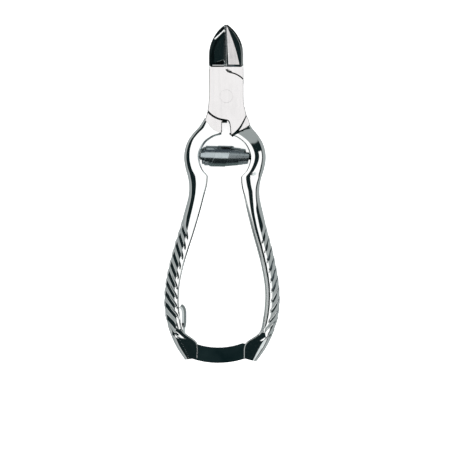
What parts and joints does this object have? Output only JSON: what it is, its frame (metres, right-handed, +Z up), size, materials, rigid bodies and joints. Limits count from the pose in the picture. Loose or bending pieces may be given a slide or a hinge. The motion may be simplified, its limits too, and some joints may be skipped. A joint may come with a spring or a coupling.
{
  "type": "nail nipper",
  "caption": "Heavy toenail nipper: two crossed forged levers on a lap joint, a barrel spring between the handles and a hooked catch bar that locks their forked ends.",
  "frame": {"origin": "on the joint's axis, in the plane that the nipper lies on", "axes": "+Y towards the jaw tips, handles towards -Y, +Z up along the joint's axis, out of the face that shows the front lever's joint plate"},
  "size_m": [0.0484, 0.141, 0.009],
  "materials": {
    "lever_steel": "polished nickel plate, satin on the joint faces",
    "catch_steel": "blackened and polished",
    "spring_steel": "dark tempered strip",
    "pin_steel": "ground flush"
  },
  "bodies": {
    "rear": {"rear_lever": "lever_steel", "joint_pin": "pin_steel", "left_spring_peg": "pin_steel", "barrel_spring": "spring_steel", "catch_rivet": "pin_steel"},
    "front": {"front_lever": "lever_steel", "right_spring_peg": "pin_steel", "keeper_pin": "pin_steel"},
    "catch": {"catch_bar": "catch_steel", "catch_leaf": "lever_steel", "leaf_rivet": "pin_steel"}
  },
  "joints": [
    {"name": "jaw_joint", "type": "hinge", "parent": "rear", "child": "front", "pos_m": [0, 0, 0], "axis": [0, 0, 1], "range_deg": [0, 18], "deforming": ["barrel_spring"]},
    {"name": "catch_hinge", "type": "hinge", "parent": "rear", "child": "catch", "pos_m": [-0.01511, -0.10558, 0], "axis": [0, 0, 1], "range_deg": [-90, 0]}
  ]
}
